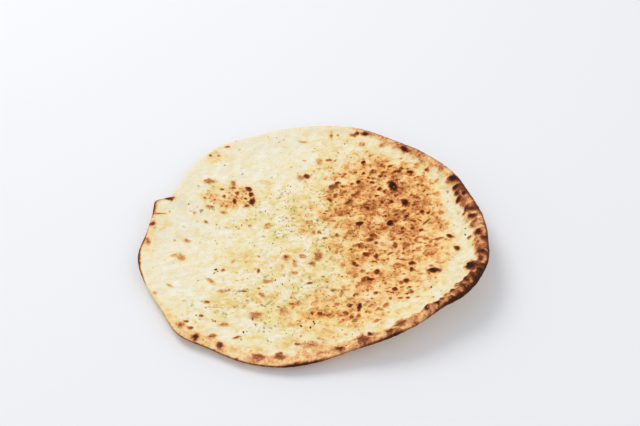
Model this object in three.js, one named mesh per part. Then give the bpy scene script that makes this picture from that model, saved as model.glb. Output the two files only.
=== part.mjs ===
// A large hand-stretched naan: one thin, leavened flatbread, baked in one piece.
// It lies on a flat middle and rises like a very shallow dish. The rim is a thick, puffed
// roll on the +X side and thins to a plain edge on the -X side, where a small flap was pinched.
// Millimetres, +Z up. The origin is under the middle of the bread, on the surface it lies on.

import * as THREE from 'three';

// Thickness of the stretched dough away from the rim.
const SHEET_THICKNESS = 4;
// The middle of the underside that lies flat.
const FOOT_RADIUS = 72;
// How late the dish rises: 1 is a straight cone, larger keeps the middle flat for longer.
const DISH_POWER = 1.9;
// A rim roll is this much wider than it is thick.
const ROLL_EXTRA_WIDTH = 5;
// Share of the roll's width, from the edge, that keeps its full thickness.
const ROLL_CREST = 0.35;

// The rim, anticlockwise from +X: [angle in degrees, radius, height of the edge, edge thickness].
const RIM = [
  [0, 163, 26, 12],
  [12, 158, 25, 12],
  [26, 156, 22, 11],
  [40, 152, 19, 9],
  [54, 149, 16, 7],
  [70, 151, 14, 6],
  [86, 150, 12, 5],
  [103, 148, 12, 4],
  [117, 148, 12, 4],
  [129, 154, 12, 4],
  [142, 152, 12, 4],
  [153, 148, 13, 4],
  [160.5, 145.5, 15, 4],
  [163, 146.2, 16, 4],
  [165, 153, 17, 4],
  [166.6, 159, 17, 4],
  [169, 158.4, 17, 4],
  [174, 156.8, 16, 4],
  [181, 159.4, 14, 4],
  [190, 167, 12, 4],
  [200, 166, 11, 4],
  [213, 163, 9, 4],
  [224, 166, 8, 5],
  [234, 159, 7, 5],
  [247, 156, 6, 5],
  [260, 152, 7, 5],
  [272, 146, 10, 6],
  [284, 142, 15, 7],
  [296, 145, 21, 9],
  [307, 149, 25, 10],
  [318, 153, 28, 11],
  [328, 163, 29, 12],
  [341, 168, 28, 13],
  [352, 165, 27, 13],
];

// Broad, low swells where gas lifted the top: [x, y, radius, rise].
const SWELLS = [
  [-70, 55, 60, 1.6],
  [85, 25, 55, 1.8],
  [60, -55, 45, 1.2],
  [-50, -65, 50, 1.2],
  [10, 100, 40, 1.0],
];

// Mesh fineness: spokes between two rim stations, and where the rings lie.
const SPOKES_PER_STATION = 4;
// Rings on the roll, as a share of the roll's width, counted in from the edge.
const TOP_ROLL_RINGS = [0.04, 0.14, 0.32, 0.55, 0.8, 1.05, 1.4];
const BOTTOM_ROLL_RINGS = [0.04, 0.14, 0.32, 0.9];
// Rings inside the roll, as a share of the way from the centre to the last roll ring.
const TOP_INNER_RINGS = [0.92, 0.82, 0.71, 0.59, 0.46, 0.32, 0.18];
// Rings on the rising underside, as a share of the way from the foot to the last roll ring.
const BOTTOM_INNER_RINGS = [0.78, 0.52, 0.26, 0];

function smoothFall(x) {
  const t = THREE.MathUtils.clamp(x, 0, 1);
  return 0.5 + 0.5 * Math.cos(Math.PI * t);
}

// Every spoke runs from the centre to a point of one smooth closed rim curve.
function makeSpokes() {
  const rimPoints = [];
  const thicknessPoints = [];
  for (const [degrees, radius, height, thickness] of RIM) {
    const angle = THREE.MathUtils.degToRad(degrees);
    rimPoints.push(new THREE.Vector3(radius * Math.cos(angle), radius * Math.sin(angle), height));
    thicknessPoints.push(new THREE.Vector3(thickness, 0, 0));
  }
  const rimCurve = new THREE.CatmullRomCurve3(rimPoints, true, 'catmullrom', 0.5);
  const thicknessCurve = new THREE.CatmullRomCurve3(thicknessPoints, true, 'catmullrom', 0.5);
  const count = RIM.length * SPOKES_PER_STATION;
  const spokes = [];
  for (let i = 0; i < count; i += 1) {
    const point = rimCurve.getPoint(i / count);
    const thickness = thicknessCurve.getPoint(i / count).x;
    const radius = Math.hypot(point.x, point.y);
    spokes.push({
      cos: point.x / radius,
      sin: point.y / radius,
      radius,
      thickness,
      lift: point.z - thickness / 2,
      rollWidth: thickness + ROLL_EXTRA_WIDTH,
    });
  }
  return spokes;
}

function dishRise(spoke, radius) {
  const share = (radius - FOOT_RADIUS) / (spoke.radius - FOOT_RADIUS);
  return spoke.lift * Math.max(0, share) ** DISH_POWER;
}

// Full thickness before the edge is rounded over.
function fullThickness(spoke, inset) {
  const past = (inset / spoke.rollWidth - ROLL_CREST) / (1 - ROLL_CREST);
  return SHEET_THICKNESS + (spoke.thickness - SHEET_THICKNESS) * smoothFall(past);
}

// 0 at the very edge, rising in a quarter circle to 1 half a thickness in.
function edgeRounding(spoke, inset) {
  const past = Math.max(0, 1 - inset / (spoke.thickness / 2));
  return Math.sqrt(1 - past * past);
}

function swellRise(x, y) {
  let rise = 0;
  for (const [centreX, centreY, radius, height] of SWELLS) {
    rise += height * smoothFall(Math.hypot(x - centreX, y - centreY) / radius);
  }
  return rise;
}

// Bottom and top of the bread on one spoke, this far in from the edge.
function section(spoke, inset) {
  const radius = spoke.radius - inset;
  const x = radius * spoke.cos;
  const y = radius * spoke.sin;
  const full = fullThickness(spoke, inset);
  const thickness = full * edgeRounding(spoke, inset);
  const bottom = dishRise(spoke, radius) + (full - thickness) / 2;
  const swell = swellRise(x, y) * edgeRounding(spoke, inset);
  return { x, y, bottom, top: bottom + thickness + swell };
}

// One ring of vertices; insetOf gives each spoke's distance in from the edge.
function addRing(positions, spokes, insetOf, side) {
  const first = positions.length / 3;
  for (const spoke of spokes) {
    const point = section(spoke, insetOf(spoke));
    positions.push(point.x, point.y, point[side]);
  }
  return first;
}

function addCentre(positions, side) {
  const first = positions.length / 3;
  const height = side === 'top' ? SHEET_THICKNESS + swellRise(0, 0) : 0;
  positions.push(0, 0, height);
  return first;
}

// Faces between two rings of one side of the bread.
function stitchRings(indices, outer, inner, count, facesUp) {
  for (let i = 0; i < count; i += 1) {
    const next = (i + 1) % count;
    const quad = [outer + i, outer + next, inner + next, inner + i];
    if (!facesUp) {
      quad.reverse();
    }
    indices.push(quad[0], quad[1], quad[2]);
    indices.push(quad[0], quad[2], quad[3]);
  }
}

function closeMiddle(indices, ring, centre, count, facesUp) {
  for (let i = 0; i < count; i += 1) {
    const next = (i + 1) % count;
    const face = facesUp ? [ring + i, ring + next, centre] : [ring + next, ring + i, centre];
    indices.push(...face);
  }
}

// Distances in from the edge for each ring of one side, from the rim to the middle.
function topInsets() {
  const lastRoll = TOP_ROLL_RINGS.at(-1);
  const onRoll = TOP_ROLL_RINGS.map((share) => (spoke) => share * spoke.rollWidth);
  const inside = TOP_INNER_RINGS.map((share) => (spoke) => {
    const inner = spoke.radius - lastRoll * spoke.rollWidth;
    return spoke.radius - share * inner;
  });
  return [...onRoll, ...inside];
}

function bottomInsets() {
  const lastRoll = BOTTOM_ROLL_RINGS.at(-1);
  const onRoll = BOTTOM_ROLL_RINGS.map((share) => (spoke) => share * spoke.rollWidth);
  const rising = BOTTOM_INNER_RINGS.map((share) => (spoke) => {
    const span = spoke.radius - lastRoll * spoke.rollWidth - FOOT_RADIUS;
    return spoke.radius - (FOOT_RADIUS + share * span);
  });
  return [...onRoll, ...rising];
}

function addSide(positions, indices, spokes, edgeRing, insets, side) {
  const facesUp = side === 'top';
  let outer = edgeRing;
  for (const insetOf of insets) {
    const inner = addRing(positions, spokes, insetOf, side);
    stitchRings(indices, outer, inner, spokes.length, facesUp);
    outer = inner;
  }
  const centre = addCentre(positions, side);
  closeMiddle(indices, outer, centre, spokes.length, facesUp);
}

function breadGeometry() {
  const spokes = makeSpokes();
  const positions = [];
  const indices = [];
  const edgeRing = addRing(positions, spokes, () => 0, 'top');
  addSide(positions, indices, spokes, edgeRing, topInsets(), 'top');
  addSide(positions, indices, spokes, edgeRing, bottomInsets(), 'bottom');
  const geometry = new THREE.BufferGeometry();
  geometry.setAttribute('position', new THREE.Float32BufferAttribute(positions, 3));
  geometry.setIndex(indices);
  geometry.computeBoundingBox();
  const middle = geometry.boundingBox.getCenter(new THREE.Vector3());
  geometry.translate(-middle.x, -middle.y, 0);
  geometry.computeVertexNormals();
  return geometry;
}

function makeNaan() {
  const crust = new THREE.MeshStandardMaterial({ color: 0xe6cf9c, roughness: 0.85, metalness: 0 });
  crust.name = 'bread';
  const naan = new THREE.Mesh(breadGeometry(), crust);
  naan.name = 'naan_bread';
  return naan;
}

const part = new THREE.Group();
part.add(makeNaan());

export default part;
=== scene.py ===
"""A large hand-stretched naan: a thin flatbread with a charred, puffed rim and toasted blisters."""

import math

import bpy
import numpy as np
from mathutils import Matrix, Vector
from mathutils.bvhtree import BVHTree


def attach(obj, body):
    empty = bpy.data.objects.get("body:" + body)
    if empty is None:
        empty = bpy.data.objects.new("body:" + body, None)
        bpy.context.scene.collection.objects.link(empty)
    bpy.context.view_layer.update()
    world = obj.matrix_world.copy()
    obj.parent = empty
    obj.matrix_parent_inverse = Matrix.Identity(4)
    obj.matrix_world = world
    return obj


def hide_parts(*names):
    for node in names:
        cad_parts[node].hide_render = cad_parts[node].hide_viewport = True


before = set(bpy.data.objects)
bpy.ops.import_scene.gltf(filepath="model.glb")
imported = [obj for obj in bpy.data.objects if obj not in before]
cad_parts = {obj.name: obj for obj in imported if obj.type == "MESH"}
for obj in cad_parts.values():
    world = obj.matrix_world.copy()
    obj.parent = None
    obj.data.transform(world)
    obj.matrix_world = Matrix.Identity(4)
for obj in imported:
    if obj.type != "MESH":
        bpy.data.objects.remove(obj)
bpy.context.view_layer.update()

MM = 0.001
BREAD_NODE = "naan_bread"

# Mesh fineness: rings from the middle to the outermost edge, and how many corners each ring gains.
TOP_RINGS = 140
TOP_RING_GAIN = 6
UNDER_RINGS = 70
UNDER_RING_GAIN = 12
EDGE_COUNT = TOP_RINGS * TOP_RING_GAIN
# The direction of every corner of the outermost edge, in turns from +X.
DIRECTIONS = np.arange(EDGE_COUNT) / EDGE_COUNT

# How the solid's edge is found: a radius that is surely outside it, how often the span from the
# middle is halved, and how far inside the edge the rays then stay, so that they meet the solid.
OUTSIDE_RADIUS = 0.3
HALVINGS = 18
RAY_MARGIN = 0.02 * MM
# How far in from the edge the thickness of the lip is read.
LIP_PROBE = 4 * MM
# How far the solid's flats are smoothed over: round the bread, in corners of the edge.
OUTLINE_BLUR = 1.0
HEIGHT_BLUR = 3.5
# The same from the edge inwards, in rings: little on the lip, more on the sheet.
LIP_BLUR_RINGS = 0.8
SHEET_BLUR_RINGS = 5.0
# How far in from the edge the lip's smoothing begins to give way, and the sheet's is whole.
LIP_ENDS = 20 * MM
SHEET_BEGINS = 32 * MM

# ---------------------------------------------------------------------------------------------
# What the oven did, in millimetres from the middle of the bread, seen from above.

# Broad toasted areas: x, y, half width, half depth, turn in degrees, how toasted.
HEAT = [
    (74, 54, 68, 62, 0, 0.41),
    (62, -22, 62, 54, 0, 0.30),
    (92, 16, 36, 32, 0, 0.06),
    (6, -44, 44, 28, 0, 0.05),
    (50, -25, 24, 17, 0, 0.18),
    (122, -20, 24, 52, 0, 0.10),
    (48, -77, 80, 36, 8, 0.29),
    (114, 2, 44, 84, 0, 0.19),
    (14, 32, 52, 70, 0, 0.15),
    (74, 47, 30, 26, 0, 0.16),
    (100, 75, 24, 17, -30, 0.12),
    (26, 28, 28, 24, 0, 0.12),
    (32, 98, 56, 24, -4, 0.13),
    (78, 96, 40, 18, -30, 0.05),
    (22, -104, 60, 22, 0, 0.18),
    (-34, 22, 70, 62, 0, 0.08),
    (-82, 52, 34, 22, 0, 0.32),
    (-66, -34, 34, 22, 0, 0.17),
    (-20, -36, 30, 26, 0, 0.16),
    (-46, -84, 74, 32, -6, 0.16),
    (0, -132, 120, 22, 0, 0.12),
    (0, -124, 30, 15, 0, 0.08),
    (-104, -112, 42, 18, -32, 0.12),
    (-148, 16, 14, 18, 0, 0.10),
    (-156, -12, 10, 22, 8, 0.10),
    (-100, 104, 14, 12, 0, 0.18),
    (34, 128, 50, 22, -10, 0.10),
]

# Blisters that scorched on top: x, y, half width, half depth, turn, height, how toasted.
SCORCHED_BLISTERS = [
    (82, 63, 4.6, 7.4, 12, 1.5, 1.00),
    (92.5, 39, 3.8, 5.0, -10, 1.2, 0.97),
    (76, 15, 3.8, 4.2, 0, 1.3, 0.97),
    (46, 16, 4.2, 3.0, 0, 1.0, 0.95),
    (47.5, 72, 2.8, 3.4, 0, 0.9, 0.90),
    (54, 97.5, 2.4, 2.7, 0, 0.7, 0.86),
    (101, 79, 3.8, 2.2, -30, 0.8, 0.86),
    (117, 78, 3.2, 1.9, -45, 0.6, 0.70),
    (112, -49, 6.0, 3.4, -8, 1.2, 0.97),
    (144.5, -54, 4.0, 7.4, 8, 1.6, 1.00),
    (59.5, -45.5, 3.0, 3.0, 0, 0.7, 0.86),
    (53, -54.5, 4.2, 2.5, 0, 0.8, 0.82),
    (41.5, -86, 2.5, 4.6, -8, 0.9, 0.93),
    (33, -84, 3.0, 2.5, 0, 0.7, 0.80),
    (86, -58, 3.6, 3.0, 0, 0.8, 0.80),
    (74.5, -68, 3.0, 2.8, 0, 0.7, 0.80),
    (93, -36, 3.2, 2.6, 0, 0.7, 0.82),
    (92, -44, 2.4, 3.6, 0, 0.7, 0.82),
    (131, -9, 3.6, 2.2, -35, 0.8, 0.86),
    (136, -26, 3.0, 3.2, 30, 0.9, 0.84),
    (-64, 62, 4.4, 2.8, -42, 0.8, 0.84),
    (-61.5, 55, 2.6, 3.4, 0, 0.6, 0.82),
    (-60, 45, 3.2, 5.0, 0, 0.8, 0.86),
    (-78, 46, 2.6, 4.4, 8, 0.7, 0.80),
    (-75.5, 56, 2.4, 3.0, 0, 0.5, 0.66),
    (-6, 81, 3.6, 3.6, 0, 0.7, 0.80),
    (-103, -119, 2.6, 3.2, 0, 0.7, 0.86),
    (22, -136, 3.6, 3.0, 0, 0.7, 0.78),
]

# Browned blisters and toast marks, flatter and paler: the same columns.
BROWNED_BLISTERS = [
    (55, 36, 2.8, 2.0, 20, 0.5, 0.80),
    (66, 52, 2.0, 1.8, 0, 0.4, 0.74),
    (73, 57, 2.2, 2.2, 0, 0.4, 0.72),
    (70, 43, 2.4, 3.0, 0, 0.5, 0.76),
    (79, 43, 2.4, 3.0, 0, 0.5, 0.80),
    (61, 46, 1.8, 2.0, 0, 0.4, 0.70),
    (92, 65, 1.8, 2.0, 0, 0.4, 0.70),
    (107, 62, 1.8, 1.8, 0, 0.4, 0.68),
    (111, 60, 2.0, 1.6, 0, 0.4, 0.66),
    (108, 26, 3.2, 2.8, 0, 0.6, 0.80),
    (114, 24, 2.4, 2.2, 0, 0.4, 0.74),
    (92, 22, 3.4, 2.2, 30, 0.6, 0.82),
    (91, 30, 3.0, 2.0, 0, 0.4, 0.72),
    (83, 25, 4.0, 2.6, 20, 0.4, 0.68),
    (87, 7, 2.6, 2.2, 0, 0.5, 0.76),
    (97, 6, 3.0, 2.4, 0, 0.5, 0.72),
    (105, 3, 3.2, 1.8, 25, 0.5, 0.76),
    (111, 13, 5.6, 1.3, 40, 0.4, 0.70),
    (104, 16, 3.6, 1.3, -40, 0.4, 0.66),
    (78, 8, 2.0, 1.8, 0, 0.3, 0.62),
    (86, 83, 3.4, 1.8, 20, 0.5, 0.76),
    (80, 90, 3.2, 2.0, 0, 0.5, 0.70),
    (72, 92, 2.4, 3.6, 0, 0.4, 0.64),
    (73, 83, 3.2, 2.6, 0, 0.4, 0.66),
    (26, 71, 4.0, 2.2, 20, 0.5, 0.76),
    (22, 66, 7.0, 4.6, 30, 0.6, 0.62),
    (18, 60, 5.0, 4.0, 0, 0.3, 0.46),
    (30, 31, 11.0, 5.0, 0, 0.5, 0.52),
    (50, 66, 6.0, 9.0, 0, 0.3, 0.50),
    (34, 83, 2.2, 1.8, 30, 0.3, 0.60),
    (22, 85, 1.8, 1.8, 0, 0.3, 0.52),
    (8, 101, 4.0, 5.0, 0, 0.3, 0.42),
    (18, 102.5, 4.0, 2.4, 0, 0.4, 0.56),
    (-11, 79, 5.4, 4.4, 20, 0.4, 0.48),
    (21, 135, 2.0, 4.2, 0, 0.3, 0.56),
    (28, 136, 2.0, 2.0, 0, 0.2, 0.44),
    (44, 134, 4.0, 2.0, -10, 0.3, 0.60),
    (53, 121, 4.4, 3.2, 0, 0.3, 0.46),
    (74, 117, 3.6, 2.6, 0, 0.4, 0.52),
    (6, 5, 2.4, 2.2, 0, 0.3, 0.60),
    (12, -3, 3.2, 1.8, 10, 0.3, 0.60),
    (37, 5, 6.0, 4.0, 30, 0.3, 0.50),
    (55, -5, 5.4, 3.0, 10, 0.5, 0.70),
    (61, -9, 2.6, 2.2, 0, 0.4, 0.72),
    (46, -13, 4.4, 4.4, 0, 0.4, 0.58),
    (50, -24, 4.4, 3.0, 0, 0.5, 0.76),
    (60, -26, 3.0, 4.2, -20, 0.5, 0.72),
    (57, -33, 3.4, 1.8, 0, 0.4, 0.66),
    (73, -23, 4.0, 1.8, 35, 0.4, 0.64),
    (88, -14, 3.0, 6.0, -10, 0.4, 0.56),
    (39, -35, 3.4, 3.4, 0, 0.4, 0.66),
    (46, -44, 2.6, 2.2, 0, 0.4, 0.62),
    (85, -31, 6.0, 1.6, -10, 0.3, 0.56),
    (120, -10, 6.0, 2.0, 0, 0.4, 0.60),
    (57, -71, 2.6, 1.4, 0, 0.4, 0.70),
    (72, -72, 3.4, 1.3, -10, 0.3, 0.62),
    (88, -67, 2.4, 2.0, 0, 0.3, 0.62),
    (84, -75, 2.6, 1.5, 20, 0.3, 0.62),
    (78, -80, 2.6, 1.8, 0, 0.3, 0.62),
    (85, -81, 2.2, 1.5, 0, 0.3, 0.64),
    (70, -80, 2.2, 1.6, 0, 0.3, 0.60),
    (107, -58, 3.8, 6.0, -10, 0.5, 0.36),
    (18, -66, 3.6, 1.8, 10, 0.3, 0.62),
    (9, -50, 2.4, 1.2, 0, 0.2, 0.62),
    (5, -25, 5.0, 6.6, 0, 0.5, 0.54),
    (-1, -33, 5.0, 3.2, 20, 0.3, 0.50),
    (42, -129, 5.0, 6.4, 0, 0.6, 0.50),
    (48.5, -122, 2.0, 3.4, 0, 0.4, 0.74),
    (75, -114, 5.4, 8.0, -20, 0.6, 0.44),
    (65, -125, 3.0, 2.0, 0, 0.4, 0.70),
    (-4, -128, 10.0, 4.6, 5, 0.5, 0.44),
    (-14, -126, 3.4, 1.6, -10, 0.3, 0.66),
    (-104, 70.5, 7.0, 3.4, 12, 0.4, 0.52),
    (-80, 69, 3.0, 5.0, 10, 0.3, 0.50),
    (-80, 63, 2.6, 2.4, 0, 0.4, 0.62),
    (-67, 50, 2.2, 2.0, 0, 0.3, 0.70),
    (-65, 40, 3.4, 2.2, 0, 0.3, 0.68),
    (-91, 61, 2.6, 1.8, 0, 0.3, 0.66),
    (-102, 37.5, 4.8, 2.6, 0, 0.3, 0.50),
    (-107, 48, 2.0, 2.0, 0, 0.2, 0.50),
    (-101, 52, 3.0, 2.0, 0, 0.2, 0.46),
    (-116, 28, 2.0, 2.6, 20, 0.2, 0.44),
    (-104, 18, 2.6, 2.0, -20, 0.2, 0.50),
    (-105, 105, 1.8, 1.8, 0, 0.2, 0.62),
    (-97, 106, 1.8, 2.4, 0, 0.2, 0.52),
    (-88, 118, 2.8, 1.6, 20, 0.2, 0.58),
    (-47, 73, 8.0, 4.0, -5, 0.3, 0.30),
    (-9, 128, 6.4, 1.6, -5, 0.2, 0.42),
    (-44, 12, 4.0, 2.6, 0, 0.3, 0.42),
    (-61, 14, 2.0, 2.4, 0, 0.2, 0.48),
    (-148, 21, 6.0, 1.1, 10, 0.2, 0.58),
    (-154, 8, 3.4, 2.2, 0, 0.2, 0.62),
    (-141, 40, 4.6, 1.6, 5, 0.3, 0.74),
    (-124, -28, 4.2, 4.2, -30, 0.4, 0.46),
    (-131, -26, 4.0, 1.8, 20, 0.2, 0.44),
    (-156, -12, 2.6, 4.6, 0, 0.2, 0.46),
    (-84, -41, 2.2, 2.0, 0, 0.2, 0.58),
    (-51, -42, 1.8, 3.2, 0, 0.4, 0.76),
    (-42, -55, 6.4, 2.4, 10, 0.3, 0.44),
    (-95, -54, 5.4, 2.4, -42, 0.3, 0.46),
    (-82, -66, 7.4, 2.6, 12, 0.3, 0.46),
    (-63, -66, 3.6, 1.2, 0, 0.3, 0.70),
    (-50, -63, 2.4, 2.0, 0, 0.2, 0.50),
    (-25, -27, 5.0, 5.2, 0, 0.3, 0.44),
    (-26, -26, 1.8, 1.8, 0, 0.3, 0.76),
    (-17, -34, 3.0, 4.4, 0, 0.2, 0.44),
    (-17, -45, 3.4, 3.0, 0, 0.2, 0.46),
    (-3, -57, 3.4, 1.4, 15, 0.3, 0.66),
    (-96, -79, 3.2, 1.5, 0, 0.2, 0.58),
    (-90, -85, 8.0, 1.0, -2, 0.2, 0.46),
    (-100, -95, 2.6, 2.0, 0, 0.2, 0.62),
    (-113, -101.5, 2.6, 1.8, 0, 0.3, 0.66),
    (-108, -109, 2.2, 1.6, 0, 0.2, 0.62),
    (-118, -106, 2.0, 2.6, 20, 0.2, 0.54),
    (-131, -62, 4.4, 1.8, -30, 0.2, 0.38),
    (-52, -94, 6.6, 4.6, 10, 0.5, 0.50),
    (-27, -89, 5.6, 2.8, 15, 0.2, 0.44),
    (-19, -81, 3.2, 1.4, 0, 0.3, 0.68),
    (-20, -74, 1.6, 1.4, 0, 0.2, 0.58),
    (-88, -116, 3.4, 2.6, 0, 0.3, 0.52),
    (-82, -127, 2.6, 4.0, 0, 0.4, 0.68),
    (-80, -104, 5.4, 2.8, 10, 0.3, 0.46),
    (-67, -118, 3.4, 1.8, 20, 0.3, 0.66),
    (-48, -139, 6.4, 5.0, 0, 0.3, 0.46),
    (-30, -138, 5.0, 4.4, 0, 0.4, 0.54),
]

# How the edge toasted, anticlockwise from +X: angle, char on the lip and how far in it reaches,
# browning of the band behind it and how far in that reaches.
EDGE_TOAST = [
    (0, 0.86, 4.8, 0.42, 14),
    (8, 0.86, 4.8, 0.42, 13),
    (14, 0.86, 5.6, 0.42, 12),
    (20, 0.86, 6.0, 0.42, 11),
    (24, 0.60, 4.2, 0.44, 10),
    (33, 0.45, 3.6, 0.44, 11),
    (40, 0.60, 3.6, 0.44, 11),
    (48, 0.80, 3.6, 0.44, 10),
    (56, 0.60, 3.0, 0.42, 9),
    (65, 0.85, 2.8, 0.38, 7),
    (71, 0.70, 2.6, 0.36, 6),
    (76, 0.30, 1.5, 0.26, 4),
    (90, 0.12, 1.0, 0.20, 4),
    (112, 0.10, 1.0, 0.10, 3),
    (127, 0.35, 0.8, 0.14, 3),
    (142, 0.60, 0.8, 0.20, 3),
    (156, 0.50, 0.8, 0.16, 3),
    (160, 0.50, 0.8, 0.16, 4),
    (163, 0.90, 1.6, 0.35, 5),
    (165, 0.85, 1.6, 0.35, 5),
    (168, 1.00, 2.6, 0.36, 5),
    (172, 1.00, 2.2, 0.30, 4),
    (176, 0.50, 1.0, 0.30, 6),
    (180, 0.90, 1.6, 0.25, 4),
    (186, 1.00, 2.4, 0.22, 4),
    (192, 1.00, 2.6, 0.20, 4),
    (198, 1.00, 2.0, 0.14, 3),
    (203, 0.35, 1.0, 0.12, 3),
    (212, 0.30, 1.0, 0.22, 5),
    (220, 0.80, 1.0, 0.30, 11),
    (228, 0.95, 1.2, 0.34, 13),
    (238, 0.85, 1.2, 0.32, 13),
    (250, 0.85, 1.2, 0.32, 12),
    (258, 0.90, 1.4, 0.34, 12),
    (264, 1.00, 3.0, 0.42, 13),
    (270, 1.00, 2.2, 0.42, 14),
    (276, 0.50, 1.6, 0.38, 14),
    (284, 0.40, 1.4, 0.38, 15),
    (293, 0.85, 2.0, 0.44, 17),
    (299, 0.95, 2.8, 0.46, 15),
    (304, 0.50, 1.6, 0.44, 13),
    (311, 0.40, 1.4, 0.46, 12),
    (316, 0.85, 2.2, 0.48, 12),
    (321, 1.00, 4.0, 0.48, 11),
    (328, 1.00, 4.2, 0.48, 13),
    (335, 1.00, 4.6, 0.48, 15),
    (342, 0.94, 4.4, 0.44, 13),
    (350, 0.86, 4.6, 0.42, 14),
]

# Blisters on the roll itself: the same columns as the others.
ROLL_BLISTERS = [
    (140, 55, 2.0, 3.6, 38, 1.2, 0.95),
    (142, 44, 2.0, 3.2, 40, 1.1, 0.90),
    (142.5, 37, 1.8, 2.4, 30, 0.8, 0.72),
    (143.5, 30, 2.8, 3.0, 0, 1.4, 0.94),
    (148, 34, 2.2, 2.6, 30, 1.0, 0.84),
    (149, 16.5, 2.2, 2.2, 0, 0.8, 0.66),
    (146, 13, 1.6, 1.8, 0, 0.5, 0.56),
    (147, 24, 3.0, 4.2, 20, 1.2, 0.40),
    (154, 12, 4.6, 1.8, -35, 0.8, 0.68),
    (153, 5, 3.6, 2.2, -30, 0.9, 0.72),
    (149, 8, 3.6, 3.6, 0, 1.3, 0.30),
    (153, -4, 3.8, 4.4, 0, 1.3, 0.34),
    (148.5, -17, 2.2, 2.2, 0, 0.7, 0.66),
    (155.5, -18, 2.4, 3.2, 0, 1.0, 0.80),
    (152, -28, 3.2, 4.6, 10, 1.2, 0.34),
    (158, -27, 2.2, 3.0, 0, 0.8, 0.74),
    (154, -43, 2.8, 4.2, 20, 1.0, 0.68),
    (152, -50, 2.4, 3.2, 0, 0.9, 0.62),
    (151, -60, 3.4, 3.0, -20, 1.0, 0.64),
    (142, -68, 2.2, 4.2, 15, 1.0, 0.62),
    (148, -68, 2.6, 3.4, 0, 0.9, 0.66),
    (137, -75, 1.8, 4.4, 10, 0.9, 0.64),
    (132, -76, 1.6, 4.4, 5, 0.8, 0.60),
    (128.5, -75, 1.8, 3.8, -10, 0.8, 0.56),
    (124, -84, 2.8, 4.6, 10, 1.2, 0.40),
    (117, -88, 1.8, 4.0, -20, 0.9, 0.54),
    (134, -84, 3.4, 3.4, 0, 1.2, 0.60),
    (113, -95, 1.8, 3.6, -20, 0.8, 0.60),
    (108, -100, 2.6, 2.6, 0, 1.0, 0.88),
    (99, -105, 2.0, 3.6, 0, 0.8, 0.76),
    (96, 107, 4.6, 2.6, -48, 0.8, 0.90),
    (57, 133, 4.4, 2.0, -20, 0.6, 0.88),
    (48, 135, 2.6, 1.8, -10, 0.5, 0.80),
]

# Dried herb flecks that lie apart from the rest: x, y, half length.
LONE_FLECKS = [
    (145, -11, 1.9),
    (107, -71, 1.8),
    (107, -84.5, 1.5),
    (-11, -106, 1.9),
    (0, -101, 1.9),
    (0.6, -103.5, 1.6),
    (-3, -107.5, 1.5),
    (-62, -112, 1.9),
    (-59, -111, 1.0),
    (-122, 37, 1.3),
    (-90, 94, 1.2),
    (-37, 131.5, 1.2),
    (-22, 67, 1.3),
    (-46.5, 33, 1.2),
    (-91, -40.5, 1.9),
    (-92, -44.5, 1.8),
    (-89, -42.5, 1.1),
    (-74.5, 13, 1.3),
    (31, 93, 1.2),
    (41, 105, 1.1),
    (3, 119, 1.1),
    (35, 124.5, 1.3),
    (146, -3, 1.4),
    (123, 31, 1.3),
    (115, 48, 1.5),
]
# How many flecks there are in all, and how many corners each has.
FLECK_COUNT = 260
FLECK_SIDES = 7

# The puffs along the roll: angle, how far they stand out in millimetres.
PUFF_RISE = [
    (0, 1.5),
    (30, 1.3),
    (48, 0.8),
    (70, 0.45),
    (95, 0.25),
    (150, 0.25),
    (200, 0.3),
    (230, 0.5),
    (262, 0.6),
    (290, 0.9),
    (315, 1.3),
    (335, 1.7),
]
MOST_PUFF = max(rise for _, rise in PUFF_RISE)
# How wide a puff is along the roll, how far in from the edge the tallest ones reach, and how
# high up a puff's dome the plain surface lies.
PUFF_WIDTH = 9
PUFF_REACH = 14
PUFF_MIDDLE = 0.45
# The rim's mean radius, which the puffs are spread along.
RIM_RADIUS = 157

# The pale hollow behind the roll: angle, how far its middle lies in from the edge, how pale.
HOLLOW = [
    (0, 23, 0.9),
    (19, 17, 1.0),
    (29, 13, 1.0),
    (44, 16, 0.6),
    (56, 16, 0.3),
    (68, 14, 0.0),
    (290, 40, 0.0),
    (304, 36, 0.7),
    (318, 30, 0.9),
    (331, 25, 0.9),
    (340, 27, 0.9),
    (346, 24, 1.0),
]
HOLLOW_HALF_WIDTH = 4.5

# Where oil soaked in, and where the herbs fell: the same columns as the toasted areas.
OILED_AREAS = [
    (-10, 20, 70, 60, 0, 0.75),
    (-40, -70, 90, 60, 0, 0.80),
    (-64, 14, 60, 50, 0, 0.60),
    (0, -105, 60, 24, 0, 0.70),
]
HERB_AREAS = [
    (-5, 25, 60, 55, 0, 0.85),
    (30, -20, 60, 60, 0, 0.35),
    (-30, -80, 90, 50, 0, 0.65),
    (70, 40, 70, 70, 0, 0.14),
    (-80, 30, 60, 60, 0, 0.12),
]
# A few herbs fell all over the top, this thickly.
STRAY_HERBS = 0.05

# Where an area begins to fade and where it is gone, in shares of its half width.
AREA_FADE = (0.35, 1.15)
# The same for the dark core of a blister, and for the paler halo round it.
CORE_FADE = (0.45, 1.35)
HALO_FADE = (0.8, 2.3)
# How toasted the halo is for its core.
HALO_TOAST = 0.38
# The square of a dome's reach, and how far out from its middle a blister is looked for.
DOME_SPREAD = 1.4
BLISTER_REACH = 2.8

# Small blisters, scattered: how many, and the ranges of half depth, width for depth, height and
# toast. The power keeps most of them small. Their turn is in degrees: its mean and its spread.
SMALL_BLISTER_COUNT = 310
SMALL_BLISTER_SEED = 81
SMALL_BLISTER_SIZES = (1.3, 3.2)
SMALL_BLISTER_POWER = 2.2
SMALL_BLISTER_STRETCH = (1.0, 1.7)
SMALL_BLISTER_RISES = (0.3, 1.0)
SMALL_BLISTER_TOASTS = (0.40, 0.78)
SMALL_BLISTER_TURN = (12, 40)
# Half the width and half the depth of the field that they are scattered over.
SCATTER_FIELD = (165, 150)

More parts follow.
